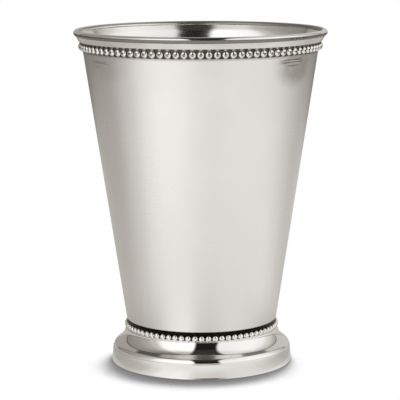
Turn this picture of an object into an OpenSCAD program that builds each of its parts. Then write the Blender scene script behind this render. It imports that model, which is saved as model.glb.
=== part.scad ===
// Julep cup: a tapered, drawn beaker with a flared and beaded rim, soldered on a hollow spun foot.
// Every piece but the beads is turned about the Z axis. The origin is on the table, under the
// middle of the foot, and -Y is the front.

/* [Overall] */
// Height from the table to the top of the lip
cup_h = 108; // [100:0.5:118]
// Height of the foot, from the table to the underside of the beaker
foot_h = 13.9; // [13.6:0.1:17]

/* [Beaker] */
// Outer diameter at the beaker's bottom edge
base_d = 48.7; // [48.3:0.1:52]
// Outer diameter of the straight wall where it starts to flare
mouth_d = 76.3; // [70:0.1:84]
// Thickness of the sheet
sheet_t = 0.9; // [0.6:0.05:1.1]
// Rounding of the bottom edge, outside
base_edge_r = 0.5; // [0.2:0.05:0.7]
// Rounding between wall and floor, inside
floor_bend_r = 2.5; // [1:0.1:5]
// Lean of the flared mouth, in degrees from upright
flare_angle = 32; // [28:0.5:36]
// How far the beaker's edge lies below the top of the lip
edge_drop = 1.4; // [1.3:0.05:1.6]

/* [Rim] */
// Diameter of the lip wire
lip_wire_d = 2; // [1.8:0.05:2.2]
// How far outside the middle of the flared sheet the lip wire is centred
lip_offset = 0.3; // [0.1:0.05:0.4]
// Height of the rim collar below the lip wire
collar_h = 1.7; // [1.2:0.05:2.5]
// Thickness of the rim collar
collar_t = 0.65; // [0.4:0.05:0.75]
// Depth of the hollow in the collar's outer face
collar_hollow = 0.05; // [0.03:0.01:0.2]

/* [Upper beads] */
// Number of upper beads
upper_bead_n = 96; // [60:1:98]
// Diameter of an upper bead
upper_bead_d = 2.35; // [1.4:0.05:2.4]
// Height of the plain strip below the upper beads
upper_margin_h = 0.25; // [0.15:0.05:1]
// Height of the plain, dark strip above the upper beads
upper_recess_h = 0.45; // [0.3:0.05:1.5]
// Thickness of the upper strip behind its beads
upper_strip_t = 0.35; // [0.2:0.05:0.5]

/* [Lower beads] */
// Number of lower beads
lower_bead_n = 71; // [40:1:73]
// Diameter of a lower bead
lower_bead_d = 2; // [1.4:0.05:2.1]
// Height of the plain strip below the lower beads
lower_margin_h = 0.05; // [0.05:0.05:0.5]
// Height of the plain, dark strip above the lower beads
lower_recess_h = 0.95; // [0.6:0.05:1.8]
// Thickness of the lower strip behind its beads
lower_strip_t = 0.2; // [0.15:0.05:0.3]

/* [Foot] */
// Thickness of the foot's sheet
foot_sheet_t = 0.8; // [0.5:0.05:1]
// How far the neck that carries the lower beads lies inside the beaker's bottom edge
neck_inset = 0.3; // [0.2:0.05:0.8]
// Width of the ledge under the lower beads, up to the narrowest part of the hollow curve
ledge_w = 0.75; // [0.5:0.05:1.1]
// Radius of the hollow curve below the ledge
cove_r = 5.5; // [3:0.1:7]
// How far the middle of the hollow curve lies above the ledge
cove_rise = 0.55; // [0.2:0.05:1]
// Radius of the round of the shoulder
shoulder_r = 1.9; // [1.2:0.1:2.5]
// How far the foot spreads past its narrowest part
foot_spread = 4.5; // [3.5:0.1:7]
// Diameter of the opening in the seat under the beaker
seat_hole_d = 34; // [24:0.5:42]
// Height of the plinth band
plinth_h = 4.8; // [4:0.1:6]
// Thickness of the plinth band at its top
plinth_t = 1.4; // [1.2:0.05:2.5]
// How far the plinth splays out from its upper edge to its foot
plinth_splay = 0.4; // [0:0.05:1]
// How far the plinth's upper edge stands out past the shoulder
plinth_step = 0.15; // [0.1:0.05:0.5]
// Rounding of the plinth's upper edge
plinth_top_edge_r = 0.15; // [0.1:0.01:0.4]
// Rounding of the plinth's lower edge
plinth_foot_edge_r = 0.5; // [0.2:0.05:0.8]

/* [Hidden] */
// Facets of a full turn, facets of a small round, and steps of a bend in an outline
turn_fn = 180;
bead_fn = 40;
bend_steps = 7;
// How far a cut runs past what it cuts
overrun = 1;
// Share of the room on the slope that the foot's two curves may fill
curve_fill_share = 0.98;
// How far the rim collar reaches up behind the lip wire
collar_tuck = 0.3;
// Depth inside the strip at which a bead's flat back lies, and the turn of the seam on its dome
bead_back = 0.05;
bead_seam_turn = 200;

// Heights, from the table up
lower_band_h = lower_margin_h + lower_bead_d + lower_recess_h;
upper_band_h = upper_margin_h + upper_bead_d + upper_recess_h;
ledge_z = foot_h - lower_band_h;
cove_z = ledge_z + cove_rise;
lip_z = cup_h - lip_wire_d / 2;
collar_top_z = cup_h - lip_wire_d;
collar_bottom_z = collar_top_z - collar_h;
flare_z = collar_bottom_z;
upper_band_z = collar_bottom_z - upper_band_h;
beaker_edge_z = cup_h - edge_drop;

// Lean of the straight wall, and both sheets measured level across
wall_lean = atan((mouth_d - base_d) / 2 / (flare_z - foot_h));
wall_w = sheet_t / cos(wall_lean);
flare_w = sheet_t / cos(flare_angle);
collar_w = collar_t / cos(flare_angle);

// Outer radius of the straight wall and of the flare at a height
function wall_radius(z) = base_d / 2 + (z - foot_h) * tan(wall_lean);
function flare_radius(z) = mouth_d / 2 + (z - flare_z) * tan(flare_angle);

// Height at which the two inner faces meet
inner_flare_z = flare_z + (flare_w - wall_w) / (tan(flare_angle) - tan(wall_lean));
lip_wire_ring_r = flare_radius(lip_z) - flare_w / 2 + lip_offset;

// Outer radii of the foot, from its neck down to the table
neck_r = base_d / 2 - neck_inset;
waist_r = neck_r + ledge_w;
foot_r = waist_r + foot_spread;
plinth_top_r = foot_r - plinth_splay;
shoulder_out_r = plinth_top_r - plinth_step;

// Slope of the foot: its two curves, drawn in where they have no room, and the lean of the line
// that touches both
slope_w = shoulder_out_r - waist_r;
slope_h = cove_z - plinth_h;
curve_room = (pow(slope_w, 2) + pow(slope_h, 2)) / (2 * slope_w);
curve_share = min(1, curve_fill_share * curve_room / (cove_r + shoulder_r));
cove_fit_r = cove_r * curve_share;
shoulder_fit_r = shoulder_r * curve_share;
cove_centre = [waist_r + cove_fit_r, cove_z];
shoulder_centre = [shoulder_out_r - shoulder_fit_r, plinth_h];
centre_line = cove_centre - shoulder_centre;
slope_angle = atan2(centre_line[1], centre_line[0])
    - acos((cove_fit_r + shoulder_fit_r) / norm(centre_line));

// Points of an arc about a centre, from one angle to another
function arc(centre, r, from, to) =
    [for (i = [0:bend_steps]) let (a = from + (to - from) * i / bend_steps)
        centre + r * [cos(a), sin(a)]];

module turned() rotate_extrude($fn = turn_fn) children();

module metal() color([0.83, 0.82, 0.79]) children();

module patina() color([0.62, 0.60, 0.56]) children();

// Half section of the beaker as if it were solid, up to its edge
module beaker_fill() {
    edge_r = base_edge_r;
    edge_centre = [wall_radius(foot_h + edge_r) - edge_r / cos(wall_lean), foot_h + edge_r];
    polygon(concat(
        [[0, foot_h]],
        arc(edge_centre, edge_r, -90, -wall_lean),
        [[mouth_d / 2, flare_z],
         [flare_radius(beaker_edge_z), beaker_edge_z],
         [0, beaker_edge_z]]));
}

// Half section of the space inside the beaker
module beaker_space() {
    floor_z = foot_h + sheet_t;
    bend_z = floor_z + floor_bend_r;
    bend_centre = [wall_radius(bend_z) - wall_w - floor_bend_r / cos(wall_lean), bend_z];
    top_z = beaker_edge_z + overrun;
    polygon(concat(
        [[0, floor_z]],
        arc(bend_centre, floor_bend_r, -90, -wall_lean),
        [[wall_radius(inner_flare_z) - wall_w, inner_flare_z],
         [flare_radius(top_z) - flare_w, top_z],
         [0, top_z]]));
}

module lip_section() translate([lip_wire_ring_r, lip_z]) circle(d = lip_wire_d, $fn = bead_fn);

// Drawn cup with a flat floor and a flared mouth, grooved for the lip wire
module beaker() metal() turned() difference() {
    beaker_fill();
    beaker_space();
    lip_section();
}

// Moulding round the outside of the flare, with a hollow face, tucked under the lip wire
module rim_collar() {
    tuck_z = collar_top_z + collar_tuck;
    low = [flare_radius(collar_bottom_z) + collar_w, collar_bottom_z];
    high = [flare_radius(tuck_z) + collar_w, tuck_z];
    chord = norm(high - low);
    hollow_r = (pow(chord / 2, 2) + pow(collar_hollow, 2)) / (2 * collar_hollow);
    along = (high - low) / chord;
    centre = (low + high) / 2 + (hollow_r - collar_hollow) * [along[1], -along[0]];
    inward = atan2(along[0], -along[1]);
    spread = asin(chord / 2 / hollow_r);
    metal() turned() difference() {
        polygon(concat(
            [[flare_radius(collar_bottom_z) - flare_w / 2, collar_bottom_z]],
            arc(centre, hollow_r, inward + spread, inward - spread),
            [[flare_radius(tuck_z) - flare_w / 2, tuck_z]]));
        beaker_fill();
        lip_section();
    }
}

module lip_wire() metal() turned() lip_section();

// Half-round beads in a ring, the first one at the front, their flat backs leaned with the wall
module bead_ring(count, bead_d, wall_r, lean, z)
    for (i = [0:count - 1])
        rotate(i * 360 / count) translate([0, -wall_r - bead_back, z]) rotate([90 + lean, 0, 0])
            rotate(bead_seam_turn) rotate_extrude($fn = bead_fn) intersection() {
                circle(d = bead_d, $fn = bead_fn);
                square(bead_d);
            }

// Angle of the middle of a gap between two beads, where a strip's ends meet
function between_beads(count) = -90 + 180 / count;

// Beads on a flat strip, bent round the wall under the collar
module upper_bead_wire() {
    low_r = wall_radius(upper_band_z);
    high_r = wall_radius(collar_bottom_z);
    bead_z = upper_band_z + upper_margin_h + upper_bead_d / 2;
    patina() union() {
        rotate(between_beads(upper_bead_n)) turned() polygon([
            [low_r, upper_band_z],
            [low_r + upper_strip_t, upper_band_z],
            [high_r + upper_strip_t, collar_bottom_z],
            [high_r, collar_bottom_z]]);
        bead_ring(upper_bead_n, upper_bead_d, wall_radius(bead_z), wall_lean, bead_z);
    }
}

// The same on the upright neck of the foot, standing on its ledge
module lower_bead_wire() {
    bead_z = ledge_z + lower_margin_h + lower_bead_d / 2;
    patina() union() {
        rotate(between_beads(lower_bead_n)) turned() polygon([
            [neck_r, ledge_z],
            [neck_r + lower_strip_t, ledge_z],
            [neck_r + lower_strip_t, foot_h],
            [neck_r, foot_h]]);
        bead_ring(lower_bead_n, lower_bead_d, neck_r, 0, bead_z);
    }
}

// Turn of the hollow curve at the height of the ledge, for the outline set in by a depth
function cove_start(depth) = asin((cove_rise + depth) / (cove_fit_r + depth));

// Outline of the foot's sheet from its neck down to the plinth, set in by a depth
function foot_outline(depth) = concat(
    [[neck_r - depth, foot_h - depth],
     [neck_r - depth, ledge_z - depth]],
    arc(cove_centre, cove_fit_r + depth, 180 + cove_start(depth), 180 + slope_angle),
    arc(shoulder_centre, shoulder_fit_r - depth, slope_angle, 0));

// Spun sheet: seat, neck, ledge for the beads, hollow curve and rounded shoulder
module foot_shell() metal() turned() {
    outside = foot_outline(0);
    inside = foot_outline(foot_sheet_t);
    seat_r = seat_hole_d / 2;
    polygon(concat(
        [[seat_r, foot_h]], outside,
        [for (i = [len(inside) - 1:-1:0]) inside[i]],
        [[seat_r, foot_h - foot_sheet_t]]));
}

// Thick band that the cup stands on, with a crisp upper edge
module plinth_band() metal() turned() {
    inner_r = plinth_top_r - plinth_t;
    face_lean = atan(plinth_splay / plinth_h);
    polygon(concat(
        [[inner_r, 0]],
        arc([foot_r - plinth_foot_edge_r, plinth_foot_edge_r], plinth_foot_edge_r, -90, face_lean),
        arc([plinth_top_r - plinth_top_edge_r, plinth_h - plinth_top_edge_r],
            plinth_top_edge_r, face_lean, 90),
        [[inner_r, plinth_h]]));
}

// Fillet of solder that holds the foot's seat to the underside of the beaker
module foot_solder() color([0.66, 0.65, 0.62]) turned() {
    seat_r = seat_hole_d / 2;
    polygon([[seat_r, foot_h], [seat_r - foot_sheet_t, foot_h], [seat_r, foot_h - foot_sheet_t]]);
}

beaker();
rim_collar();
lip_wire();
upper_bead_wire();
lower_bead_wire();
foot_shell();
plinth_band();
foot_solder();
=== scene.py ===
"""Looks of the julep cup: fine turned pieces, bead wires, metals, floor, light and camera.
Lengths are written in millimetres, as in the part's source, and scaled to metres as they are used."""
import math
import random

import bpy
from mathutils import Matrix, Vector


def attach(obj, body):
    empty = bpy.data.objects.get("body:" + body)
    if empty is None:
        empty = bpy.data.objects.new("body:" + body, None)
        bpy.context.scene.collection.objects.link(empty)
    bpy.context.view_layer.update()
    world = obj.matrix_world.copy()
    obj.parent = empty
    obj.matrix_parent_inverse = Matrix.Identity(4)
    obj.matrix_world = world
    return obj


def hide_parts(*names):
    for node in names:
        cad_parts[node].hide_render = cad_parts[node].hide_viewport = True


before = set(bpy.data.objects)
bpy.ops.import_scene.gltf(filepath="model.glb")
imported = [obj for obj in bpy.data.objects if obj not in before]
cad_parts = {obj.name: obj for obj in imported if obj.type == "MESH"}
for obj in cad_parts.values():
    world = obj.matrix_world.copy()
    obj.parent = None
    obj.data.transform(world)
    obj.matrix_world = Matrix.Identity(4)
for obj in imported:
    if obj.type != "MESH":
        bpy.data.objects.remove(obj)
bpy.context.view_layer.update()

MM = 0.001
BODY = "root"
SEED = 7
# Radians times this are degrees
DEGREES = 180 / math.pi
FULL_TURN = 360
# A turn about Z starts at the back and grows to the right, so this one points to the front
FRONT_TURN = 0.5
BLACK, WHITE = (0, 0, 0), (1, 1, 1)

# Sizes of the cup, the same as in the part's source

CUP_H = 108
FOOT_H = 13.9
BASE_D = 48.7
MOUTH_D = 76.3
SHEET_T = 0.9
BASE_EDGE_R = 0.5
FLOOR_BEND_R = 2.5
FLARE_ANGLE = math.radians(32)
LIP_WIRE_D = 2
LIP_OFFSET = 0.3
COLLAR_H = 1.7
COLLAR_T = 0.65
COLLAR_HOLLOW = 0.05
UPPER_BEAD_N = 96
UPPER_BEAD_D = 2.35
UPPER_MARGIN_H = 0.25
UPPER_RECESS_H = 0.45
UPPER_STRIP_T = 0.35
LOWER_BEAD_N = 71
LOWER_BEAD_D = 2
LOWER_MARGIN_H = 0.05
LOWER_RECESS_H = 0.95
LOWER_STRIP_T = 0.2
FOOT_SHEET_T = 0.8
NECK_INSET = 0.3
LEDGE_W = 0.75
COVE_R = 5.5
COVE_RISE = 0.55
SHOULDER_R = 1.9
FOOT_SPREAD = 4.5
SEAT_HOLE_D = 34
PLINTH_H = 4.8
PLINTH_T = 1.4
PLINTH_SPLAY = 0.4
PLINTH_STEP = 0.15
PLINTH_TOP_EDGE_R = 0.15
PLINTH_FOOT_EDGE_R = 0.5
BEAD_BACK = 0.05

LOWER_BAND_H = LOWER_MARGIN_H + LOWER_BEAD_D + LOWER_RECESS_H
UPPER_BAND_H = UPPER_MARGIN_H + UPPER_BEAD_D + UPPER_RECESS_H
LEDGE_Z = FOOT_H - LOWER_BAND_H
COVE_Z = LEDGE_Z + COVE_RISE
LIP_Z = CUP_H - LIP_WIRE_D / 2
COLLAR_TOP_Z = CUP_H - LIP_WIRE_D
FLARE_Z = COLLAR_TOP_Z - COLLAR_H
UPPER_BAND_Z = FLARE_Z - UPPER_BAND_H
WALL_SLOPE = (MOUTH_D - BASE_D) / 2 / (FLARE_Z - FOOT_H)
FLARE_SLOPE = math.tan(FLARE_ANGLE)
WALL_LEAN = math.atan(WALL_SLOPE)
WALL_W = SHEET_T / math.cos(WALL_LEAN)
FLARE_W = SHEET_T / math.cos(FLARE_ANGLE)
COLLAR_W = COLLAR_T / math.cos(FLARE_ANGLE)
NECK_R = BASE_D / 2 - NECK_INSET
WAIST_R = NECK_R + LEDGE_W
FOOT_R = WAIST_R + FOOT_SPREAD
PLINTH_TOP_R = FOOT_R - PLINTH_SPLAY
SHOULDER_OUT_R = PLINTH_TOP_R - PLINTH_STEP

# Roundings that only the looks have
INNER_BEND_R = 5
OUTER_BEND_R = 1.5
SOFT_EDGE_R = 0.12
FINE_EDGE_R = 0.05

# Fineness of the meshes
TURN_STEPS = 384
ARC_STEP = math.radians(6)
BEAD_STEPS = 24
BEAD_RINGS = 8
# A point nearer to the axis than this is on it
ON_AXIS_R = 1e-6
# Halvings that find where the flare meets the lip wire
WIRE_HALVINGS = 40

# 2 is a half ball, and more is flatter on top and fuller at the edge
BEAD_FULLNESS = 2.5
# How far the beads stray: round the cup in radians, up or down, and as shares of their size and height
BEAD_TURN_STRAY, BEAD_Z_STRAY, BEAD_SIZE_STRAY, BEAD_HEIGHT_STRAY = 0.0011, 0.012, 0.012, 0.02
BEAD_TILT_STRAY = 0.02
# The rise goes from 0 at the foot of a bead to 1 at its top, and this is the rise of the strip
STRIP_RISE = -1


def wall_radius(z):
    return BASE_D / 2 + (z - FOOT_H) * WALL_SLOPE


def flare_radius(z):
    return MOUTH_D / 2 + (z - FLARE_Z) * FLARE_SLOPE


LIP_RING_R = flare_radius(LIP_Z) - FLARE_W / 2 + LIP_OFFSET


def turned_by(vector, angle):
    s, c = math.sin(angle), math.cos(angle)
    return Vector((vector.x * c - vector.y * s, vector.x * s + vector.y * c))


def arc(centre, radius, start, end):
    """Points of an arc in the (r, z) plane with their outward normals; the outline runs anticlockwise."""
    steps = max(2, math.ceil(abs(end - start) / ARC_STEP))
    side = math.copysign(1, end - start)
    arms = [turned_by(Vector((1, 0)), start + (end - start) * i / steps) for i in range(steps + 1)]
    return [(Vector(centre) + arm * radius, arm * side) for arm in arms]


def outline(items):
    """Closed outline in the (r, z) plane. An item is a corner (r, z, rounding radius) or a point with
    its normal."""
    spots = [item[0] if len(item) == 2 else Vector(item[:2]) for item in items]
    points = []
    for i, item in enumerate(items):
        if len(item) == 2:
            points.append(item)
            continue
        into = (spots[i] - spots[i - 1]).normalized()
        out = (spots[(i + 1) % len(spots)] - spots[i]).normalized()
        turn = math.atan2(into.cross(out), into.dot(out))
        radius = item[2]
        start = spots[i] - into * radius * math.tan(abs(turn) / 2)
        arm = Vector((into.y, -into.x)) * radius * math.copysign(1, turn)
        centre = start - arm
        steps = max(1, math.ceil(abs(turn) / ARC_STEP))
        for k in range(steps + 1):
            a = turn * k / steps
            points.append((centre + turned_by(arm, a), turned_by(Vector((into.y, -into.x)), a)))
    return points


def turned_mesh(points):
    """Vertices, faces and normals of a closed outline turned about Z. A point on the axis is one vertex."""
    verts, normals, rings = [], [], []
    for point, normal in points:
        if point.x < ON_AXIS_R:
            rings.append([len(verts)] * TURN_STEPS)
            verts.append((0, 0, point.y))
            normals.append((0, 0, normal.y))
            continue
        rings.append(range(len(verts), len(verts) + TURN_STEPS))
        for i in range(TURN_STEPS):
            a = 2 * math.pi * i / TURN_STEPS
            s, c = math.sin(a), -math.cos(a)
            verts.append((point.x * s, point.x * c, point.y))
            normals.append((normal.x * s, normal.x * c, normal.y))
    faces = []
    for k, low in enumerate(rings):
        high = rings[(k + 1) % len(rings)]
        if low[0] == low[1] and high[0] == high[1]:
            continue
        for i in range(TURN_STEPS):
            j = (i + 1) % TURN_STEPS
            loop = [low[i], low[j], high[j], high[i]]
            faces.append([v for n, v in enumerate(loop) if v != loop[n - 1]])
    return verts, faces, normals


def bead_mesh(centre, axis, radius, height, first):
    """A closed dome with a flat back: vertices, faces and normals, numbered from first, and how near
    each vertex is to the top, from 0 to 1."""
    axis = axis.normalized()
    across = axis.cross(Vector((0, 0, 1))).normalized()
    up = across.cross(axis)
    verts, faces, normals, rises = [centre], [], [-axis], [0]
    power = 2 / BEAD_FULLNESS
    for ring in range(BEAD_RINGS):
        rise = math.pi / 2 * ring / BEAD_RINGS
        c, s = math.cos(rise), math.sin(rise)
        for i in range(BEAD_STEPS):
            a = 2 * math.pi * i / BEAD_STEPS
            side = across * math.cos(a) + up * math.sin(a)
            verts.append(centre + side * radius * c ** power + axis * height * s ** power)
            normals.append(side * c ** (2 - power) / radius + axis * s ** (2 - power) / height)
            rises.append(ring / BEAD_RINGS)
    verts.append(centre + axis * height)
    normals.append(axis)
    rises.append(1)
    top = first + len(verts) - 1
    for i in range(BEAD_STEPS):
        j = (i + 1) % BEAD_STEPS
        faces.append((first, first + 1 + i, first + 1 + j))
        for ring in range(BEAD_RINGS - 1):
            low = first + 1 + ring * BEAD_STEPS
            faces.append((low + j, low + i, low + i + BEAD_STEPS, low + j + BEAD_STEPS))
        low = first + 1 + (BEAD_RINGS - 1) * BEAD_STEPS
        faces.append((low + j, low + i, top))
    return verts, faces, normals, rises


def new_piece(name, verts, faces, normals, node, slot):
    mesh = bpy.data.meshes.new(name)
    mesh.from_pydata([Vector(v) * MM for v in verts], [], faces)
    mesh.polygons.foreach_set("use_smooth", [True] * len(mesh.polygons))
    mesh.normals_split_custom_set_from_vertices([Vector(n).normalized() for n in normals])
    piece = bpy.data.objects.new(name, mesh)
    bpy.context.scene.collection.objects.link(piece)
    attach(piece, BODY)
    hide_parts(node)
    return piece


def turned_piece(name, points, node, slot):
    return new_piece(name, *turned_mesh(points), node, slot)


def meets_wire(face_radius):
    """Height at which a sloping face of the flare meets the lip wire from below."""
    low, high = FLARE_Z, LIP_Z
    for _ in range(WIRE_HALVINGS):
        z = (low + high) / 2
        apart = math.hypot(face_radius(z) - LIP_RING_R, z - LIP_Z) > LIP_WIRE_D / 2
        low, high = (z, high) if apart else (low, z)
    return low


def beaker_outline():
    outer_z = meets_wire(flare_radius)
    inner_z = meets_wire(lambda z: flare_radius(z) - FLARE_W)
    bend_z = FLARE_Z + (FLARE_W - WALL_W) / (FLARE_SLOPE - WALL_SLOPE)
    floor_z = FOOT_H + SHEET_T
    return outline([
        (Vector((0, FOOT_H)), Vector((0, -1))),
        (BASE_D / 2, FOOT_H, BASE_EDGE_R),
        (MOUTH_D / 2, FLARE_Z, OUTER_BEND_R),
        (flare_radius(outer_z), outer_z, FINE_EDGE_R),
        (flare_radius(inner_z) - FLARE_W, inner_z, FINE_EDGE_R),
        (wall_radius(bend_z) - WALL_W, bend_z, INNER_BEND_R),
        (wall_radius(floor_z) - WALL_W, floor_z, FLOOR_BEND_R),
        (Vector((0, floor_z)), Vector((0, 1)))])


def collar_outline():
    low = Vector((flare_radius(FLARE_Z) + COLLAR_W, FLARE_Z))
    high_z = meets_wire(lambda z: flare_radius(z) + COLLAR_W)
    high = Vector((flare_radius(high_z) + COLLAR_W, high_z))
    chord = (high - low).length
    hollow_r = ((chord / 2) ** 2 + COLLAR_HOLLOW ** 2) / (2 * COLLAR_HOLLOW)
    along = (high - low) / chord
    centre = (low + high) / 2 + Vector((along.y, -along.x)) * (hollow_r - COLLAR_HOLLOW)
    inward = math.atan2(along.x, -along.y)
    spread = math.asin(chord / 2 / hollow_r)
    inner_z = meets_wire(flare_radius)
    face = arc(centre, hollow_r, inward + spread, inward - spread)
    return outline(
        [(flare_radius(FLARE_Z), FLARE_Z, FINE_EDGE_R), (low.x, low.y, FINE_EDGE_R)] + face[1:-1]
        + [(high.x, high.y, FINE_EDGE_R), (flare_radius(inner_z), inner_z, FINE_EDGE_R)])


def lip_outline():
    """A whole circle, without the last point, which would be the first one again."""
    return outline(arc((LIP_RING_R, LIP_Z), LIP_WIRE_D / 2, -math.pi, math.pi)[:-1])


def foot_outline():
    cove = Vector((WAIST_R + COVE_R, COVE_Z))
    shoulder = Vector((SHOULDER_OUT_R - SHOULDER_R, PLINTH_H))
    line = cove - shoulder
    slope = math.atan2(line.y, line.x) - math.acos((COVE_R + SHOULDER_R) / line.length)
    t = FOOT_SHEET_T
    seat_r = SEAT_HOLE_D / 2
    outer = arc(cove, COVE_R, math.pi + slope, math.pi + math.asin(COVE_RISE / COVE_R))
    inner = arc(cove, COVE_R + t, math.pi + math.asin((COVE_RISE + t) / (COVE_R + t)), math.pi + slope)
    return outline(
        arc(shoulder, SHOULDER_R, 0, slope) + outer
        + [(NECK_R, LEDGE_Z, FINE_EDGE_R), (NECK_R, FOOT_H, FINE_EDGE_R),
           (seat_r, FOOT_H, FINE_EDGE_R), (seat_r, FOOT_H - t, FINE_EDGE_R),
           (NECK_R - t, FOOT_H - t, SOFT_EDGE_R), (NECK_R - t, LEDGE_Z - t, SOFT_EDGE_R)]
        + inner + arc(shoulder, SHOULDER_R - t, slope, 0))


def plinth_outline():
    inner_r = PLINTH_TOP_R - PLINTH_T
    lean = math.atan(PLINTH_SPLAY / PLINTH_H)
    foot_edge = (FOOT_R - PLINTH_FOOT_EDGE_R, PLINTH_FOOT_EDGE_R)
    top_edge = (PLINTH_TOP_R - PLINTH_TOP_EDGE_R, PLINTH_H - PLINTH_TOP_EDGE_R)
    return outline(
        [(inner_r, 0, SOFT_EDGE_R)]
        + arc(foot_edge, PLINTH_FOOT_EDGE_R, -math.pi / 2, lean)
        + arc(top_edge, PLINTH_TOP_EDGE_R, lean, math.pi / 2)
        + [(inner_r, PLINTH_H, SOFT_EDGE_R)])


def bead_wire(name, strip, count, bead_d, wall_r, lean, bead_z, node):
    """A strip with half-round beads, each a little off its place and size as in rolled wire."""
    rolls = random.Random(SEED + count)
    back_r = wall_r + BEAD_BACK
    verts, faces, normals = turned_mesh(strip)
    rises = [STRIP_RISE] * len(verts)
    for i in range(count):
        a = 2 * math.pi * i / count + rolls.gauss(0, BEAD_TURN_STRAY)
        axis = Vector((math.sin(a) * math.cos(lean), -math.cos(a) * math.cos(lean), -math.sin(lean)))
        centre_z = bead_z + rolls.gauss(0, BEAD_Z_STRAY)
        centre = Vector((back_r * math.sin(a), -back_r * math.cos(a), centre_z))
        radius = bead_d / 2 * (1 - abs(rolls.gauss(0, BEAD_SIZE_STRAY)))
        tilt = Vector([rolls.gauss(0, BEAD_TILT_STRAY) for _ in range(3)])
        height = radius * (1 - abs(rolls.gauss(0, BEAD_HEIGHT_STRAY)))
        more = bead_mesh(centre, axis + tilt, radius, height, len(verts))
        verts += more[0]
        faces += more[1]
        normals += more[2]
        rises += more[3]
    piece = new_piece(name, verts, faces, normals, node, "beaded_metal")
    piece.data.attributes.new("rise", "FLOAT", "POINT").data.foreach_set("value", rises)
    return piece


def upper_strip():
    return outline([
        (wall_radius(UPPER_BAND_Z), UPPER_BAND_Z, FINE_EDGE_R),
        (wall_radius(UPPER_BAND_Z) + UPPER_STRIP_T, UPPER_BAND_Z, SOFT_EDGE_R),
        (wall_radius(FLARE_Z) + UPPER_STRIP_T, FLARE_Z, FINE_EDGE_R),
        (wall_radius(FLARE_Z), FLARE_Z, FINE_EDGE_R)])


def lower_strip():
    return outline([
        (NECK_R, LEDGE_Z, FINE_EDGE_R),
        (NECK_R + LOWER_STRIP_T, LEDGE_Z, FINE_EDGE_R),
        (NECK_R + LOWER_STRIP_T, FOOT_H, FINE_EDGE_R),
        (NECK_R, FOOT_H, FINE_EDGE_R)])


# Inputs of the Mix node: its factor and its two values, which are others for numbers than for colours
MIX_NUMBERS, MIX_COLOURS, MIX_COLOUR_OUT = (0, 2, 3), (0, 6, 7), 2


class Shader:
    """Node tree of a material or of the world, with a short call for each kind of node used here."""

    def __init__(self, owner):
        owner.use_nodes = True
        self.tree = owner.node_tree
        self.tree.nodes.clear()

    def node(self, kind, inputs=(), **settings):
        made = self.tree.nodes.new("ShaderNode" + kind)
        for key, value in settings.items():
            setattr(made, key, value)
        for key, value in dict(inputs).items():
            self.put(value, made.inputs[key])
        return made

    def put(self, value, socket):
        """Link a socket to another, or set it to a number, a vector or a colour of three parts."""
        if isinstance(value, bpy.types.NodeSocket):
            self.tree.links.new(value, socket)
        elif socket.type == "RGBA":
            socket.default_value = (*value, 1)
        else:
            socket.default_value = value

    def math(self, operation, *values):
        return self.node("Math", enumerate(values), operation=operation).outputs[0]

    def blend(self, share, a, b):
        """Number between a and b."""
        return self.node("Mix", zip(MIX_NUMBERS, (share, a, b)), data_type="FLOAT").outputs[0]

    def tint(self, share, a, b):
        """Colour between a and b."""
        made = self.node("Mix", zip(MIX_COLOURS, (share, a, b)), data_type="RGBA")
        return made.outputs[MIX_COLOUR_OUT]

    def step(self, value, low, high, start=0, end=1):
        """start below low, end above high, and smooth between them."""
        inputs = {"Value": value, "From Min": low, "From Max": high, "To Min": start, "To Max": end}
        return self.node("MapRange", inputs, interpolation_type="SMOOTHSTEP").outputs[0]

    def past(self, value, place, softness):
        """1 above the place and 0 below it, with a soft edge."""
        return self.step(value, place - softness, place + softness)

    def before(self, value, place, softness):
        """1 below the place and 0 above it, with a soft edge."""
        return self.step(value, place - softness, place + softness, 1, 0)

    def place(self):
        """Place on the object."""
        return self.node("TexCoord").outputs["Object"]

    def split(self, vector):
        return self.node("SeparateXYZ", {0: vector}).outputs

    def join(self, x, y, z):
        return self.node("CombineXYZ", {0: x, 1: y, 2: z}).outputs[0]

    def noise(self, vector, scale, detail=2):
        return self.node("TexNoise", {"Vector": vector, "Scale": scale, "Detail": detail}).outputs["Fac"]

    def ramp(self, value, stops):
        """Grey level from a ramp whose stops are (place, level)."""
        made = self.node("ValToRGB", {0: value})
        made.color_ramp.interpolation = "EASE"
        elements = made.color_ramp.elements
        while len(elements) < len(stops):
            # Any place will do, because each stop gets its own below
            elements.new(0.5)
        for element, (place, level) in zip(elements, stops):
            element.position = place
            element.color = (level, level, level, 1)
        return made.outputs[0]

    def reach(self, x, y):
        """Length of (x, y)."""
        return self.math("SQRT", self.math("ADD", self.math("MULTIPLY", x, x), self.math("MULTIPLY", y, y)))

    def turn(self, x, y):
        """Angle about Z in turns, 0 at the back and FRONT_TURN at the front, growing to the right."""
        angle = self.math("ARCTAN2", x, self.math("MULTIPLY", y, -1))
        return self.math("MULTIPLY_ADD", angle, 1 / (2 * math.pi), FRONT_TURN)

    def degrees_up(self, z):
        """Degrees above the horizon of a direction whose length is 1."""
        return self.math("MULTIPLY", self.math("ARCSINE", z), DEGREES)


def turn_stops(stops):
    """Stops in degrees from the front as places of a ramp over a whole turn."""
    return [(degrees / FULL_TURN + FRONT_TURN, level) for degrees, level in stops]


# Light

# Levels of the softboxes by direction, in degrees from the front, growing to the right
SIDE_STOPS = turn_stops([
    (-180, 0.3), (-144, 0.27), (-112, 0.35), (-92, 0.45), (-76, 0.62), (-58, 1.15), (-20, 1.3), (0, 1.15),
    (22, 1.0), (85, 1.08), (102, 1.0), (118, 0.75), (138, 0.45), (180, 0.3)])
# Degrees above the horizon between which the softboxes fade to these shares
HIGH_FROM, HIGH_FULL, HIGH_SHARE_LEFT, HIGH_SHARE_RIGHT = 42, 68, 0.45, 0.75
# From here on a place is a part of a direction of length 1: x to the right, y to the back and z up
SIDES_BLEND = 0.1
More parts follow.
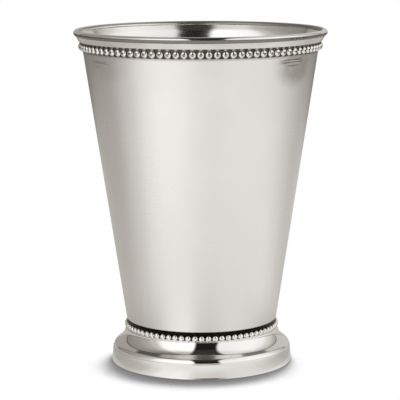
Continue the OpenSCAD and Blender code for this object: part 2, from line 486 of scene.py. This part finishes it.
# Levels of the ceiling and of its back, which it reaches between two places
CEILING_LEFT, CEILING_RIGHT, BACK_LEFT, BACK_RIGHT = 0.45, 0.8, 0.4, 0.62
BACK_FROM, BACK_FULL = 0.1, 0.5
# The edge between the softboxes and the ceiling is a curve round the zenith, open to the back. It is dark
# over its core, and it starts a little above the horizon
EDGE_FRONT, EDGE_BEND, EDGE_SOFTNESS = -0.2, 2.4, 0.01
EDGE_HALF_WIDTH, EDGE_CORE_SHARE = 0.03, 1 / 3
EDGE_LOW, EDGE_FULL = 0.02, 0.1
EDGE_LEVEL_LEFT, EDGE_LEVEL_RIGHT = 0.1, 0.2
# The dark gap between left and right at the horizon, and how far its sides move over to the zenith
GAP_LEFT, GAP_LEFT_SHIFT = -0.155, -0.02
GAP_RIGHT, GAP_RIGHT_SHIFT = 0.42, -0.14
GAP_SOFTNESS = 0.04
GAP_BACK_FROM, GAP_BACK_TO = 0.4, 0.6
# Degrees above the horizon between which the gap changes from its low to its high level
GAP_HIGH_FROM, GAP_HIGH_FULL = 40, 52
GAP_LOW_LEVEL, GAP_HIGH_LEVEL = 0.015, 0.04
# Dark places are a little warm, and bright ones are white
WARM_DARK = (1.0, 0.92, 0.82)
LIGHT_MAP_SIZE = 1024
SUN_LEVEL = 0.8
SUN_SPREAD = 20


def softboxes(g, x, y, z):
    """Level of the softboxes and of the ceiling behind their thin dark edge."""
    right = g.past(x, 0, SIDES_BLEND)
    high_share = g.blend(right, HIGH_SHARE_LEFT, HIGH_SHARE_RIGHT)
    boxes = g.math("MULTIPLY", g.ramp(g.turn(x, y), SIDE_STOPS),
                   g.step(g.degrees_up(z), HIGH_FROM, HIGH_FULL, 1, high_share))
    ceiling = g.blend(g.step(y, BACK_FROM, BACK_FULL), g.blend(right, CEILING_LEFT, CEILING_RIGHT),
                      g.blend(right, BACK_LEFT, BACK_RIGHT))
    bend = g.math("MULTIPLY", g.math("MULTIPLY", x, x), EDGE_BEND)
    past_edge = g.math("SUBTRACT", g.math("SUBTRACT", y, EDGE_FRONT), bend)
    tilt = g.math("MULTIPLY", x, 2 * EDGE_BEND)
    past_edge = g.math("DIVIDE", past_edge, g.math("SQRT", g.math("MULTIPLY_ADD", tilt, tilt, 1)))
    light = g.blend(g.past(past_edge, 0, EDGE_SOFTNESS), boxes, ceiling)
    edge = g.step(g.math("ABSOLUTE", past_edge), EDGE_HALF_WIDTH * EDGE_CORE_SHARE, EDGE_HALF_WIDTH, 1, 0)
    edge = g.math("MULTIPLY", edge, g.step(z, EDGE_LOW, EDGE_FULL))
    return g.blend(edge, light, g.blend(right, EDGE_LEVEL_LEFT, EDGE_LEVEL_RIGHT))


def dark_gap(g, x, y, z):
    """Share of the dark gap in the middle of the studio."""
    past_left = g.math("SUBTRACT", x, g.math("MULTIPLY_ADD", z, GAP_LEFT_SHIFT, GAP_LEFT))
    past_right = g.math("SUBTRACT", x, g.math("MULTIPLY_ADD", z, GAP_RIGHT_SHIFT, GAP_RIGHT))
    gap = g.math("MULTIPLY", g.past(past_left, 0, GAP_SOFTNESS), g.before(past_right, 0, GAP_SOFTNESS))
    return g.math("MULTIPLY", gap, g.step(y, GAP_BACK_FROM, GAP_BACK_TO, 1, 0))


def build_world():
    """White behind the cup, and for everything else a studio with softboxes left and right."""
    world = bpy.data.worlds.new("studio")
    bpy.context.scene.world = world
    g = Shader(world)
    x, y, z = g.split(g.node("TexCoord").outputs["Generated"])
    gap_level = g.step(g.degrees_up(z), GAP_HIGH_FROM, GAP_HIGH_FULL, GAP_LOW_LEVEL, GAP_HIGH_LEVEL)
    level = g.blend(dark_gap(g, x, y, z), softboxes(g, x, y, z), gap_level)
    studio = g.node("Background", {"Color": g.tint(level, WARM_DARK, WHITE), "Strength": level})
    white = g.node("Background", {"Color": WHITE, "Strength": 1})
    seen = g.node("LightPath").outputs["Is Camera Ray"]
    mixed = g.node("MixShader", {0: seen, 1: studio.outputs[0], 2: white.outputs[0]})
    g.node("OutputWorld", {"Surface": mixed.outputs[0]})
    world.cycles.sampling_method = "MANUAL"
    world.cycles.sample_map_resolution = LIGHT_MAP_SIZE


def build_sun():
    """Soft light from above, for the floor and whatever is not metal."""
    light = bpy.data.lights.new("overhead", "SUN")
    light.energy = SUN_LEVEL * math.pi
    light.angle = math.radians(SUN_SPREAD)
    lamp = bpy.data.objects.new("overhead", light)
    lamp.visible_glossy = False
    bpy.context.scene.collection.objects.link(lamp)


# Floor

FLOOR_HALF = 4000
FLOOR_COLOUR = (0.8, 0.8, 0.8)
# The shadow lies where the cup hides the sky within this reach, seen from the floor along the lean,
# which points up and to the back
SHADOW_REACH, SHADOW_LEAN, SHADOW_SAMPLES = 24, (0.2, 1.2, 1), 32
# Level of the floor in the shadow by the share of the sky that is open
SHADOW_STOPS = [(0.45, 0.19), (0.56, 0.26), (0.62, 0.32), (0.66, 0.45), (0.71, 0.72), (0.76, 0.93), (0.8, 1)]
# Painted light and shade of the floor, which glows only for the metal's reflections, by direction: under the
# foot, beside it, near the cup and further out. The dark dip at the front under the foot is a painted
# contact shadow
FLOOR_UNDER_STOPS = turn_stops([
    (-180, 0.5), (-60, 0.6), (-38, 0.76), (-29, 0.92), (-20, 1.1), (-11, 1.1), (-7, 0.85), (-3, 0.4),
    (1, 0.18), (9, 0.18), (13, 0.5), (18, 0.85), (30, 0.86), (60, 0.85), (90, 0.6), (180, 0.5)])
FLOOR_BESIDE_STOPS = turn_stops([
    (-180, 0.4), (-90, 0.45), (-70, 0.5), (-54, 0.58), (-45, 0.77), (-33, 0.98), (-20, 1.04), (-13, 0.97),
    (-8, 0.84), (-3, 0.76), (12, 0.71), (27, 0.81), (36, 0.83), (50, 0.8), (58, 0.72), (75, 0.6), (90, 0.5),
    (180, 0.4)])
FLOOR_CLOSE_STOPS = turn_stops([
    (-180, 0.5), (-110, 0.55), (-92, 0.63), (-74, 0.73), (-59, 0.86), (-44, 0.92), (-31, 0.92), (-17, 0.9),
    (-4, 0.9), (8, 0.89), (22, 0.87), (38, 0.85), (63, 0.87), (79, 0.91), (97, 0.84), (120, 0.69),
    (155, 0.54), (180, 0.5)])
FLOOR_WIDE_STOPS = turn_stops([
    (-180, 0.66), (-130, 0.52), (-102, 0.52), (-76, 0.8), (-58, 1.1), (-42, 1.26), (-25, 1.27), (-5, 1.18),
    (15, 1.12), (45, 1.08), (65, 1.04), (85, 0.92), (102, 0.74), (125, 0.6), (155, 0.66), (180, 0.66)])
# Distances from the axis: one pattern gives way to the next between two of them
FLOOR_UNDER, FLOOR_EDGE = 31.5, 36
FLOOR_BESIDE, FLOOR_CLOSE, FLOOR_WIDE = 45, 75, 300
# The painted glow fades to this share far from the cup
FLOOR_FADE_FROM, FLOOR_FADE_TO, FLOOR_FADE_SHARE = 330, 650, 0.3


def mirrored_floor(g):
    """Level of the floor's glow as the metal sees it: painted light and shade by direction, darker with
    distance.
    """
    x, y, _ = g.split(g.place())
    reach = g.reach(x, y)
    turn = g.turn(x, y)
    pattern = g.ramp(turn, FLOOR_UNDER_STOPS)
    for near, far, stops in ((FLOOR_UNDER, FLOOR_EDGE, FLOOR_BESIDE_STOPS),
                             (FLOOR_BESIDE, FLOOR_CLOSE, FLOOR_CLOSE_STOPS),
                             (FLOOR_CLOSE, FLOOR_WIDE, FLOOR_WIDE_STOPS)):
        pattern = g.blend(g.step(reach, near * MM, far * MM), pattern, g.ramp(turn, stops))
    fade = g.step(reach, FLOOR_FADE_FROM * MM, FLOOR_FADE_TO * MM, 1, FLOOR_FADE_SHARE)
    return g.math("MULTIPLY", pattern, fade)


def build_floor():
    """A plain floor, white to the camera but for the shadow, that glows for the metal with painted light and
    shade, darker with distance.
    """
    h = FLOOR_HALF
    mesh = bpy.data.meshes.new("floor")
    mesh.from_pydata([Vector(v) * MM for v in ((-h, -h, 0), (h, -h, 0), (h, h, 0), (-h, h, 0))],
                     [], [(0, 1, 2, 3)])
    floor = bpy.data.objects.new("floor", mesh)
    bpy.context.scene.collection.objects.link(floor)
    material = bpy.data.materials.new("pale_floor")
    mesh.materials.append(material)
    g = Shader(material)
    painted_floor_glow = mirrored_floor(g)
    path = g.node("LightPath").outputs
    lean = g.node("VectorMath", {0: SHADOW_LEAN}, operation="NORMALIZE").outputs[0]
    open_sky = g.node("AmbientOcclusion", {"Distance": SHADOW_REACH * MM, "Normal": lean},
                      samples=SHADOW_SAMPLES).outputs["AO"]
    plain = g.node("BsdfDiffuse", {"Color": FLOOR_COLOUR})
    # A glow with painted light and shade, seen only by the metal's reflections
    mirrored = g.node("Emission", {"Color": g.tint(painted_floor_glow, WARM_DARK, WHITE), "Strength": painted_floor_glow})
    seen = g.node("Emission", {"Strength": g.ramp(open_sky, SHADOW_STOPS)})
    first = g.node("MixShader", {0: path["Is Glossy Ray"], 1: plain.outputs[0], 2: mirrored.outputs[0]})
    both = g.node("MixShader", {0: path["Is Camera Ray"], 1: first.outputs[0], 2: seen.outputs[0]})
    g.node("OutputMaterial", {"Surface": both.outputs[0]})
    material.cycles.emission_sampling = "NONE"


# Metals

# Turns by which the brushing is rotated from the tangent round the cup
BRUSH_ROTATION = 0.25
# Noise between these values takes a material over its whole range
NOISE_LOW, NOISE_MIDDLE, NOISE_HIGH = 0.3, 0.5, 0.7
# A soft oval is full over this share of its size
PATCH_CORE_SHARE = 0.35


def new_metal(name, anisotropy=0.0):
    """A metal whose colour and roughness are still to be set, with its node tree and its Principled node."""
    material = bpy.data.materials.new(name)
    g = Shader(material)
    bsdf = g.node("BsdfPrincipled", {"Metallic": 1.0})
    g.node("OutputMaterial", {"Surface": bsdf.outputs[0]})
    if anisotropy:
        g.put(anisotropy, bsdf.inputs["Anisotropic"])
        g.put(BRUSH_ROTATION, bsdf.inputs["Anisotropic Rotation"])
        tangent = g.node("Tangent", direction_type="RADIAL", axis="Z")
        g.put(tangent.outputs[0], bsdf.inputs["Tangent"])
    return material, g, bsdf


def set_finish(g, bsdf, colour, roughness):
    g.put(colour, bsdf.inputs["Base Color"])
    g.put(roughness, bsdf.inputs["Roughness"])


def bump(g, bsdf, height, depth):
    """Bump from a height between 0 and 1 that stands for a depth in millimetres."""
    made = g.node("Bump", {"Height": height, "Distance": depth * MM, "Strength": 1.0})
    g.put(made.outputs[0], bsdf.inputs["Normal"])


def grain_noise(g, grain, detail=3):
    """Noise without a seam. A grain says how fast it runs round the cup and how fast up it."""
    lengthwise, upright = grain
    x, y, z = g.split(g.place())
    reach = g.math("MAXIMUM", g.reach(x, y), MM)
    along_x = g.math("MULTIPLY", g.math("DIVIDE", x, reach), lengthwise)
    along_y = g.math("MULTIPLY", g.math("DIVIDE", y, reach), lengthwise)
    return g.noise(g.join(along_x, along_y, g.math("MULTIPLY", z, upright)), 1, detail)


def patch(g, middle, half_turn, half_height):
    """Soft oval on the cup round a place given in degrees from the front and in millimetres of height."""
    x, y, z = g.split(g.place())
    middle_turn = middle[0] / FULL_TURN + FRONT_TURN
    across = g.math("DIVIDE", g.math("SUBTRACT", g.turn(x, y), middle_turn), half_turn / FULL_TURN)
    up = g.math("DIVIDE", g.math("SUBTRACT", z, middle[1] * MM), half_height * MM)
    return g.step(g.reach(across, up), PATCH_CORE_SHARE, 1, 1, 0)


def strongest_patch(g, patches):
    """The strongest of some soft ovals, each given with its share."""
    found = 0
    for place, share in patches:
        found = g.math("MAXIMUM", found, g.math("MULTIPLY", patch(g, *place), share))
    return found


SATIN_COLOUR, SATIN_ANISOTROPY = (0.818, 0.8, 0.773), 0.6
SATIN_BRUSH_GRAIN, SATIN_BRUSH_ROUGH, SATIN_BRUSH_DEPTH = (1.3, 6500), (0.285, 0.315), 0.00015
SATIN_CLOUD_GRAIN, SATIN_CLOUD_ROUGH = (1.6, 60), (-0.02, 0.02)
STAIN_COLOUR = (0.2, 0.17, 0.13)
# A place is degrees from the front and height, then half the width in degrees and half the height
STAINS = [(((52, 98), 17.5, 8), 0.52), (((-54, 99), 24, 8), 0.15)]
STAIN_GRAIN, STAIN_NOISE, STAIN_LEAST_SHARE = (9, 260), (0.25, 0.65), 0.6
SCRATCHES = [(((50, 99.3), 13, 2.4), 0.92), (((-57, 98.5), 12, 2.2), 0.414)]
SCRATCH_GRAIN, SCRATCH_NOISE = (4, 1850), (0.46, 0.56)
# Darker in a band just under the upper beads, fading out downwards
UNDER_BEADS_DARK_H, UNDER_BEADS_DARK_SHARE = 0.9, 0.5


def satin_metal():
    """Finely brushed round the cup, with a faint stain and a few scratches below the upper beads."""
    material, g, bsdf = new_metal("satin_metal", SATIN_ANISOTROPY)
    z = g.split(g.place())[2]
    blotches = g.step(grain_noise(g, STAIN_GRAIN), *STAIN_NOISE, STAIN_LEAST_SHARE, 1)
    stain = g.math("MULTIPLY", strongest_patch(g, STAINS), blotches)
    # Darker in a band just under the upper beads
    under_beads_dark = g.step(z, (UPPER_BAND_Z - UNDER_BEADS_DARK_H) * MM, UPPER_BAND_Z * MM, 0, UNDER_BEADS_DARK_SHARE)
    threads = g.step(grain_noise(g, SCRATCH_GRAIN, detail=2), *SCRATCH_NOISE)
    scratches = g.math("MULTIPLY", threads, strongest_patch(g, SCRATCHES))
    shade = g.math("MAXIMUM", g.math("MAXIMUM", stain, under_beads_dark), scratches)
    brushing = grain_noise(g, SATIN_BRUSH_GRAIN)
    clouds = grain_noise(g, SATIN_CLOUD_GRAIN, detail=2)
    rough = g.math("ADD", g.step(brushing, NOISE_LOW, NOISE_HIGH, *SATIN_BRUSH_ROUGH),
                   g.step(clouds, NOISE_LOW, NOISE_HIGH, *SATIN_CLOUD_ROUGH))
    set_finish(g, bsdf, g.tint(shade, SATIN_COLOUR, STAIN_COLOUR), rough)
    bump(g, bsdf, brushing, SATIN_BRUSH_DEPTH)
    return material


INNER_COLOUR, INNER_ANISOTROPY = (0.82, 0.81, 0.78), 0.4
INNER_GRAIN, INNER_ROUGH, INNER_DEPTH = (3, 3800), (0.13, 0.19), 0.003


def inner_metal():
    """Glossier than the outside of the wall, and brushed round it too."""
    material, g, bsdf = new_metal("inner_metal", INNER_ANISOTROPY)
    brushing = grain_noise(g, INNER_GRAIN)
    set_finish(g, bsdf, INNER_COLOUR, g.step(brushing, NOISE_LOW, NOISE_HIGH, *INNER_ROUGH))
    bump(g, bsdf, brushing, INNER_DEPTH)
    return material


POLISHED_COLOUR = (0.85, 0.84, 0.81)
POLISHED_GRAIN, POLISHED_NOISE, POLISHED_ROUGH = (6, 2600), (0.35, 0.7), (0.035, 0.07)
WAVE_SCALE, WAVE_DETAIL, WAVE_DEPTH = 260, 1, 0.01


def polished_metal():
    """A mirror with the faint waves and polishing marks of spun metal."""
    material, g, bsdf = new_metal("polished_metal")
    marks = grain_noise(g, POLISHED_GRAIN)
    set_finish(g, bsdf, POLISHED_COLOUR, g.step(marks, *POLISHED_NOISE, *POLISHED_ROUGH))
    bump(g, bsdf, g.noise(g.place(), WAVE_SCALE, WAVE_DETAIL), WAVE_DEPTH)
    return material


LIP_COLOUR, LIP_ROUGH = (0.84, 0.83, 0.80), 0.08
# Colour and roughness of the darker bands of the wire
LIP_DARK_COLOUR, LIP_DARK_ROUGH = (0.14, 0.13, 0.115), 0.42
# How far noise shifts the ends of the darker bands, in degrees round the wire
LIP_DARK_GRAIN, LIP_DARK_SPREAD = (5, 300), 16
# The outer darker band, in degrees up from the wire's outermost line: its lower and its upper end
LIP_DARK_UNDER, LIP_DARK_UNDER_SOFTNESS = -120, 10
LIP_DARK_BELOW, LIP_DARK_BELOW_SOFTNESS = 11, 4
LIP_DARK_SHARE = 0.85
# The inner darker band, in degrees up from the wire's innermost line: its upper end, and its lower end,
# which changes between two places from left to right
LIP_DARK_INSIDE_TOP, LIP_DARK_INSIDE_TOP_SOFTNESS = 58, 5
LIP_DARK_INSIDE_LEFT, LIP_DARK_INSIDE_RIGHT, LIP_DARK_INSIDE_LOW_SOFTNESS = 20, -5, 8
LIP_DARK_LEFT_X, LIP_DARK_RIGHT_X = -20, 12
LIP_DARK_INSIDE_SHARE = 0.75
# Small dark dents in the front of the lip, at the right
DENTS, DENTS_SHARE, DENTS_COLOUR = ((48, 106.75), 10, 0.35), 0.8, (0.02, 0.018, 0.015)
DENTS_GRAIN, DENTS_NOISE = (40, 700), (0.46, 0.56)


def lip_metal():
    """Polished on top, darker and rougher in a band round the inside of the wire and on its outer lower
    half, and a few dark dents."""
    material, g, bsdf = new_metal("lip_metal")
    x, y, z = g.split(g.place())
    up = g.math("SUBTRACT", z, LIP_Z * MM)
    out = g.math("SUBTRACT", g.reach(x, y), LIP_RING_R * MM)
    uneven = g.math("MULTIPLY_ADD", grain_noise(g, LIP_DARK_GRAIN), LIP_DARK_SPREAD, -LIP_DARK_SPREAD / 2)
    outer = g.math("MULTIPLY_ADD", g.math("ARCTAN2", up, out), DEGREES, uneven)
    inner = g.math("ARCTAN2", up, g.math("MULTIPLY", out, -1))
    inner = g.math("MULTIPLY_ADD", inner, DEGREES, uneven)
    below = g.math("MULTIPLY", g.before(outer, LIP_DARK_BELOW, LIP_DARK_BELOW_SOFTNESS),
                   g.past(outer, LIP_DARK_UNDER, LIP_DARK_UNDER_SOFTNESS))
    low_end = g.step(x, LIP_DARK_LEFT_X * MM, LIP_DARK_RIGHT_X * MM,
                     LIP_DARK_INSIDE_LEFT, LIP_DARK_INSIDE_RIGHT)
    inside = g.math("MULTIPLY", g.before(inner, LIP_DARK_INSIDE_TOP, LIP_DARK_INSIDE_TOP_SOFTNESS),
                    g.past(g.math("SUBTRACT", inner, low_end), 0, LIP_DARK_INSIDE_LOW_SOFTNESS))
    # Darker and rougher on the outer lower half of the wire and in a band round its inside
    lip_darkening = g.math("ADD", g.math("MULTIPLY", below, LIP_DARK_SHARE),
                     g.math("MULTIPLY", inside, LIP_DARK_INSIDE_SHARE))
    dents = g.math("MULTIPLY", patch(g, *DENTS),
                   g.step(grain_noise(g, DENTS_GRAIN, detail=2), *DENTS_NOISE))
    lip_darkened = g.tint(lip_darkening, LIP_COLOUR, LIP_DARK_COLOUR)
    colour = g.tint(g.math("MULTIPLY", dents, DENTS_SHARE), lip_darkened, DENTS_COLOUR)
    set_finish(g, bsdf, colour, g.blend(lip_darkening, LIP_ROUGH, LIP_DARK_ROUGH))
    return material


COLLAR_DARK, COLLAR_LIGHT = (0.68, 0.665, 0.62), (0.76, 0.745, 0.705)
COLLAR_ROUGH, COLLAR_ANISOTROPY, COLLAR_GRAIN = 0.26, 0.4, (6, 500)


def collar_metal():
    """Satin, a little duller and warmer than the wall."""
    material, g, bsdf = new_metal("collar_metal", COLLAR_ANISOTROPY)
    cloud = g.step(grain_noise(g, COLLAR_GRAIN), NOISE_LOW, NOISE_HIGH)
    set_finish(g, bsdf, g.tint(cloud, COLLAR_DARK, COLLAR_LIGHT), COLLAR_ROUGH)
    return material


BEAD_COLOUR, BEAD_ROUGH = (0.85, 0.83, 0.79), 0.06
UPPER_PATINA, LOWER_PATINA, PATINA_ROUGH = (0.14, 0.118, 0.095), (0.014, 0.012, 0.01), 0.45
PATINA_SCALE, PATINA_NOISE, PATINA_DARK_SHARE = 1100, (0.35, 0.65), 0.5
# How far noise moves the ends of the patina and of the painted dark top on a bead, and how soft they are, as
# shares of its rise
PATINA_SHIFT, ROOT_SOFTNESS, CROWN_SOFTNESS = 0.25, 0.05, 0.08
PATINA_Z_SOFTNESS = 0.1
# Cosines between which the rubbing of the strip grows: 1 is over the middle of a bead, -1 between two
RUBBED_FROM, RUBBED_FULL = 0, 0.9


def beaded_metal(name, patina, patina_z, root, crown, dark_top_level, count, rubbed):
    """Polished beads with patina above the height patina_z, on the strip and at the foot of each bead up
    to the rise called root. From the rise called crown upwards, the top of each bead gets a painted dark
    reflection: its colour falls towards a given level. The strip over each of the count beads is rubbed
    clean by the share called rubbed."""
    material, g, bsdf = new_metal(name)
    x, y, z = g.split(g.place())
    noise = g.noise(g.place(), PATINA_SCALE)
    rise = g.node("Attribute", attribute_name="rise").outputs["Fac"]
    jittered_rise = g.math("MULTIPLY_ADD", g.math("SUBTRACT", noise, NOISE_MIDDLE), PATINA_SHIFT, rise)
    clean = g.math("MAXIMUM", g.past(jittered_rise, root, ROOT_SOFTNESS),
                   g.before(z, patina_z * MM, PATINA_Z_SOFTNESS * MM))
    over_bead = g.math("COSINE", g.math("MULTIPLY", g.turn(x, y), 2 * math.pi * count))
    over_bead = g.math("MULTIPLY", g.math("LESS_THAN", rise, STRIP_RISE / 2),
                       g.step(over_bead, RUBBED_FROM, RUBBED_FULL, 0, rubbed))
    clean = g.math("MAXIMUM", clean, over_bead)
    # Painted dark reflection: from the crown up, the top of each bead is darkened towards the given level
    top = g.step(jittered_rise, crown - CROWN_SOFTNESS, crown + CROWN_SOFTNESS, 1, dark_top_level)
    bead_with_dark_top = g.tint(top, BLACK, BEAD_COLOUR)
    dull = g.tint(g.step(noise, *PATINA_NOISE), patina, tuple(PATINA_DARK_SHARE * part for part in patina))
    set_finish(g, bsdf, g.tint(clean, dull, bead_with_dark_top), g.blend(clean, PATINA_ROUGH, BEAD_ROUGH))
    return material


SOLDER_DARK, SOLDER_LIGHT = (0.45, 0.44, 0.41), (0.66, 0.65, 0.62)
SOLDER_SCALE, SOLDER_NOISE, SOLDER_ROUGH, SOLDER_DEPTH = 700, (0.35, 0.7), (0.32, 0.5), 0.05


def solder():
    """Grey and uneven."""
    material, g, bsdf = new_metal("solder")
    noise = g.noise(g.place(), SOLDER_SCALE, detail=3)
    colour = g.tint(g.step(noise, *SOLDER_NOISE), SOLDER_DARK, SOLDER_LIGHT)
    set_finish(g, bsdf, colour, g.step(noise, NOISE_LOW, NOISE_HIGH, *SOLDER_ROUGH))
    bump(g, bsdf, noise, SOLDER_DEPTH)
    return material


# Camera: at the photograph's angle, with its slight roll

CAMERA_AWAY = 595.82
CAMERA_UP = 147.76
CAMERA_SIDE = -0.35
CAMERA_PITCH = math.radians(9.086)
CAMERA_ROLL = math.radians(-0.22)
CAMERA_LENS = 167.30
CAMERA_SENSOR_W = 36
CAMERA_NEAREST = 10


def build_camera():
    camera = bpy.data.cameras.new("camera")
    camera.lens = CAMERA_LENS
    camera.sensor_width = CAMERA_SENSOR_W
    camera.clip_start = CAMERA_NEAREST * MM
    taken = bpy.data.objects.new("camera", camera)
    bpy.context.scene.collection.objects.link(taken)
    aim = Matrix.Rotation(math.pi / 2 - CAMERA_PITCH, 4, "X") @ Matrix.Rotation(CAMERA_ROLL, 4, "Z")
    taken.matrix_world = Matrix.Translation(
        Vector((CAMERA_SIDE, -CAMERA_AWAY, CAMERA_UP)) * MM) @ aim
    bpy.context.scene.camera = taken


# Pieces of the cup

# A face whose normal points up by more than this belongs to the floor of the beaker or to its edge
FACING_UP = 0.5
# The upper patina starts this far under its band, and the lower one this far under the middle of its beads
UPPER_PATINA_DROP, LOWER_PATINA_DROP = 1, 0.75


def build_beaker():
    """Satin outside, and glossier on the faces that look inward or up."""
    beaker = turned_piece("beaker_body", beaker_outline(), "beaker", "satin_metal")
    beaker.data.materials.append(satin_metal())
    beaker.data.materials.append(inner_metal())
    for face in beaker.data.polygons:
        outward = face.center.x * face.normal.x + face.center.y * face.normal.y
        above_bottom = face.center.z > (FOOT_H + SHEET_T / 2) * MM
        if above_bottom and (outward < 0 or face.normal.z > FACING_UP):
            face.material_index = 1


def build_collar():
    collar = turned_piece("rim_collar_ring", collar_outline(), "rim_collar", "satin_metal")
    collar.data.materials.append(collar_metal())


def build_lip():
    lip = turned_piece("lip_wire_ring", lip_outline(), "lip_wire", "polished_metal")
    lip.data.materials.append(lip_metal())


def build_foot():
    """The spun foot and the band under it, of the same polished metal."""
    polished = polished_metal()
    foot = turned_piece("foot_spinning", foot_outline(), "foot_shell", "polished_metal")
    plinth = turned_piece("plinth_ring", plinth_outline(), "plinth_band", "polished_metal")
    for piece in (foot, plinth):
        piece.data.materials.append(polished)


def build_upper_beads():
    bead_z = UPPER_BAND_Z + UPPER_MARGIN_H + UPPER_BEAD_D / 2
    upper = bead_wire("upper_bead_ring", upper_strip(), UPPER_BEAD_N, UPPER_BEAD_D,
                      wall_radius(bead_z), WALL_LEAN, bead_z, "upper_bead_wire")
    # The tops of the upper beads get a painted dark reflection
    upper.data.materials.append(beaded_metal(
        "upper_beads", UPPER_PATINA, patina_z=UPPER_BAND_Z - UPPER_PATINA_DROP,
        root=0.28, crown=0.79, dark_top_level=0.27, count=UPPER_BEAD_N, rubbed=0.38))


def build_lower_beads():
    bead_z = LEDGE_Z + LOWER_MARGIN_H + LOWER_BEAD_D / 2
    lower = bead_wire("lower_bead_ring", lower_strip(), LOWER_BEAD_N, LOWER_BEAD_D,
                      NECK_R, 0, bead_z, "lower_bead_wire")
    lower.data.materials.append(beaded_metal(
        "lower_beads", LOWER_PATINA, patina_z=bead_z - LOWER_PATINA_DROP,
        root=0.12, crown=0.9, dark_top_level=1, count=LOWER_BEAD_N, rubbed=0))


def dress_solder():
    """The solder keeps its mesh from the frame and gets a material."""
    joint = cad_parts["foot_solder"]
    joint.data.materials.clear()
    joint.data.materials.append(solder())


build_camera()
build_world()
build_sun()
build_floor()
build_beaker()
build_collar()
build_lip()
build_foot()
build_upper_beads()
build_lower_beads()
dress_solder()

bpy.context.scene.view_settings.view_transform = "Standard"
